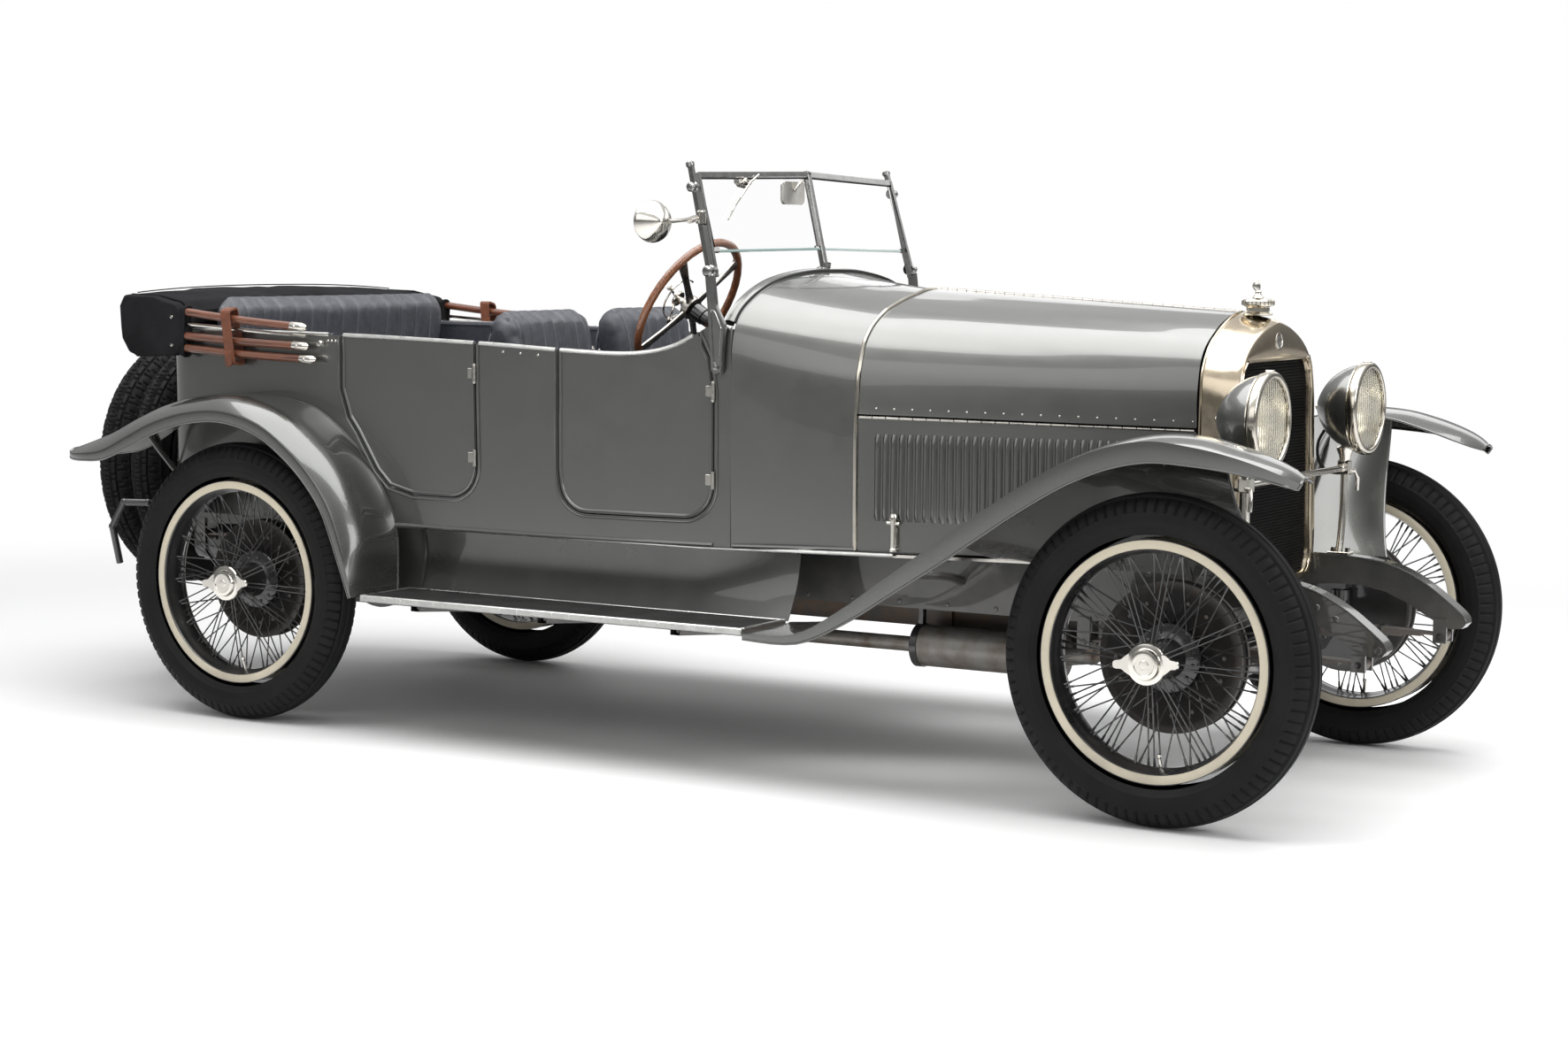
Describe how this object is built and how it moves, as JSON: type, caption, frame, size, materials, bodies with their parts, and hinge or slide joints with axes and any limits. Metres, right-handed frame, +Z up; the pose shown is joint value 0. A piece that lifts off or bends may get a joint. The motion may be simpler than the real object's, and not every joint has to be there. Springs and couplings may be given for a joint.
{
  "type": "1920s open touring car",
  "caption": "Open four-door touring car of the 1920s with folded hood, wire wheels, tall radiator and spare wheels carried at the tail; doors, bonnet and steering move.",
  "frame": {"origin": "on the ground, midway between the front of the dumb irons and the rear of the spare tyres, on the centre line", "axes": "+X towards the front of the car, +Y to its left, +Z up"},
  "size_m": [4.2689, 1.615, 1.6209],
  "materials": {
    "black_enamel": "satin",
    "cast_iron_rough": "rough",
    "chrome_polished": "polished",
    "core_black": "matt",
    "body_paint": "gloss",
    "wood_matt": "matt",
    "wood_varnished": "varnished",
    "wood_varnished_2": "varnished",
    "chrome_polished_2": "polished",
    "glass_clear": "clear",
    "leather_soft": "soft",
    "fabric_woven": "woven",
    "rubber_ribbed": "ribbed",
    "body_paint_2": "gloss",
    "tyre_matt": "matt"
  },
  "bodies": {
    "chassis": {"chassis_frame": "black_enamel", "handle_guide": "black_enamel", "front_axle": "black_enamel", "rear_axle": "black_enamel", "leaf_springs": "black_enamel", "engine_block": "cast_iron_rough", "exhaust": "cast_iron_rough", "fuel_tank": "black_enamel", "radiator_shell": "chrome_polished", "radiator_core": "core_black", "radiator_cap": "chrome_polished", "bonnet_rod": "chrome_polished", "cowl": "body_paint", "body_tub": "body_paint", "floor": "wood_matt", "dashboard": "wood_varnished", "steering_column": "black_enamel", "windscreen_frame": "chrome_polished_2", "windscreen_glass": "glass_clear", "controls": "black_enamel", "front_seats": "leather_soft", "rear_seat": "leather_soft", "hood_bag": "fabric_woven", "hood_bows": "wood_varnished_2", "front_wings": "body_paint", "rear_wings": "body_paint", "running_boards": "rubber_ribbed", "valances": "body_paint", "headlamps": "body_paint", "door_mirror": "chrome_polished_2", "spare_wheels": "body_paint_2", "spare_tyres": "tyre_matt", "spare_carrier": "black_enamel"},
    "steering_wheel": {"steering_wheel": "wood_varnished_2"},
    "left_knuckle": {"left_knuckle": "black_enamel"},
    "right_knuckle": {"right_knuckle": "black_enamel"},
    "track_rod": {"track_rod": "black_enamel"},
    "front_left_wheel": {"front_left_wheel": "body_paint_2", "front_left_tyre": "tyre_matt"},
    "front_right_wheel": {"front_right_wheel": "body_paint_2", "front_right_tyre": "tyre_matt"},
    "rear_left_wheel": {"rear_left_wheel": "body_paint_2", "rear_left_tyre": "tyre_matt"},
    "rear_right_wheel": {"rear_right_wheel": "body_paint_2", "rear_right_tyre": "tyre_matt"},
    "front_left_door": {"front_left_door": "body_paint"},
    "front_right_door": {"front_right_door": "body_paint"},
    "rear_left_door": {"rear_left_door": "body_paint"},
    "rear_right_door": {"rear_right_door": "body_paint"},
    "bonnet_top_left": {"bonnet_top_left": "body_paint"},
    "bonnet_top_right": {"bonnet_top_right": "body_paint"},
    "bonnet_side_left": {"bonnet_side_left": "body_paint"},
    "bonnet_side_right": {"bonnet_side_right": "body_paint"}
  },
  "joints": [
    {"name": "front_left_door_hinge", "type": "hinge", "parent": "chassis", "child": "front_left_door", "pos_m": [0.3165, 0.56, 0.8], "axis": [0, 0, -1], "range_deg": [0, 70]},
    {"name": "rear_left_door_hinge", "type": "hinge", "parent": "chassis", "child": "rear_left_door", "pos_m": [-0.4545, 0.604, 0.8], "axis": [0, 0, -1], "range_deg": [0, 70]},
    {"name": "front_right_door_hinge", "type": "hinge", "parent": "chassis", "child": "front_right_door", "pos_m": [0.3165, -0.56, 0.8], "axis": [0, 0, 1], "range_deg": [0, 70]},
    {"name": "rear_right_door_hinge", "type": "hinge", "parent": "chassis", "child": "rear_right_door", "pos_m": [-0.4545, -0.604, 0.8], "axis": [0, 0, 1], "range_deg": [0, 70]},
    {"name": "bonnet_top_left_hinge", "type": "hinge", "parent": "chassis", "child": "bonnet_top_left", "pos_m": [0.6995, 0, 1.288], "axis": [0.9985, 0, -0.0539], "range_deg": [0, 55]},
    {"name": "bonnet_side_left_hinge", "type": "hinge", "parent": "bonnet_top_left", "child": "bonnet_side_left", "pos_m": [0.6995, 0.441, 0.955], "axis": [0.9798, -0.1993, -0.0143], "range_deg": [-55, 0]},
    {"name": "bonnet_top_right_hinge", "type": "hinge", "parent": "chassis", "child": "bonnet_top_right", "pos_m": [0.6995, 0, 1.288], "axis": [-0.9985, 0, 0.0539], "range_deg": [0, 55]},
    {"name": "bonnet_side_right_hinge", "type": "hinge", "parent": "bonnet_top_right", "child": "bonnet_side_right", "pos_m": [0.6995, -0.441, 0.955], "axis": [-0.9798, -0.1993, 0.0143], "range_deg": [-55, 0]},
    {"name": "steer_left", "type": "hinge", "parent": "chassis", "child": "left_knuckle", "pos_m": [1.6925, 0.545, 0.41], "axis": [0, 0, 1], "range_deg": [-30, 30]},
    {"name": "steer_right", "type": "hinge", "parent": "chassis", "child": "right_knuckle", "pos_m": [1.6925, -0.545, 0.41], "axis": [0, 0, 1], "range_deg": [-30, 30]},
    {"name": "track_rod_joint", "type": "hinge", "parent": "left_knuckle", "child": "track_rod", "pos_m": [1.5225, 0.545, 0.314], "axis": [0, 0, 1], "range_deg": [-30, 30]},
    {"name": "steering_wheel_turn", "type": "hinge", "parent": "chassis", "child": "steering_wheel", "pos_m": [0.0805, -0.32, 1.235], "axis": [-0.866, 0, 0.5], "range_deg": [-360, 360]},
    {"name": "front_left_spin", "type": "hinge", "parent": "left_knuckle", "child": "front_left_wheel", "pos_m": [1.6925, 0.698, 0.41], "axis": [0, 1, 0], "continuous": true},
    {"name": "front_right_spin", "type": "hinge", "parent": "right_knuckle", "child": "front_right_wheel", "pos_m": [1.6925, -0.698, 0.41], "axis": [0, 1, 0], "continuous": true},
    {"name": "rear_left_spin", "type": "hinge", "parent": "chassis", "child": "rear_left_wheel", "pos_m": [-1.2375, 0.698, 0.41], "axis": [0, 1, 0], "continuous": true},
    {"name": "rear_right_spin", "type": "hinge", "parent": "chassis", "child": "rear_right_wheel", "pos_m": [-1.2375, -0.698, 0.41], "axis": [0, 1, 0], "continuous": true}
  ],
  "couplings": [
    {"joint": "steer_right", "follows": "steer_left", "ratio": 1},
    {"joint": "track_rod_joint", "follows": "steer_left", "ratio": -1},
    {"joint": "steering_wheel_turn", "follows": "steer_left", "ratio": 12},
    {"joint": "bonnet_side_left_hinge", "follows": "bonnet_top_left_hinge", "ratio": -1},
    {"joint": "bonnet_side_right_hinge", "follows": "bonnet_top_right_hinge", "ratio": -1}
  ]
}
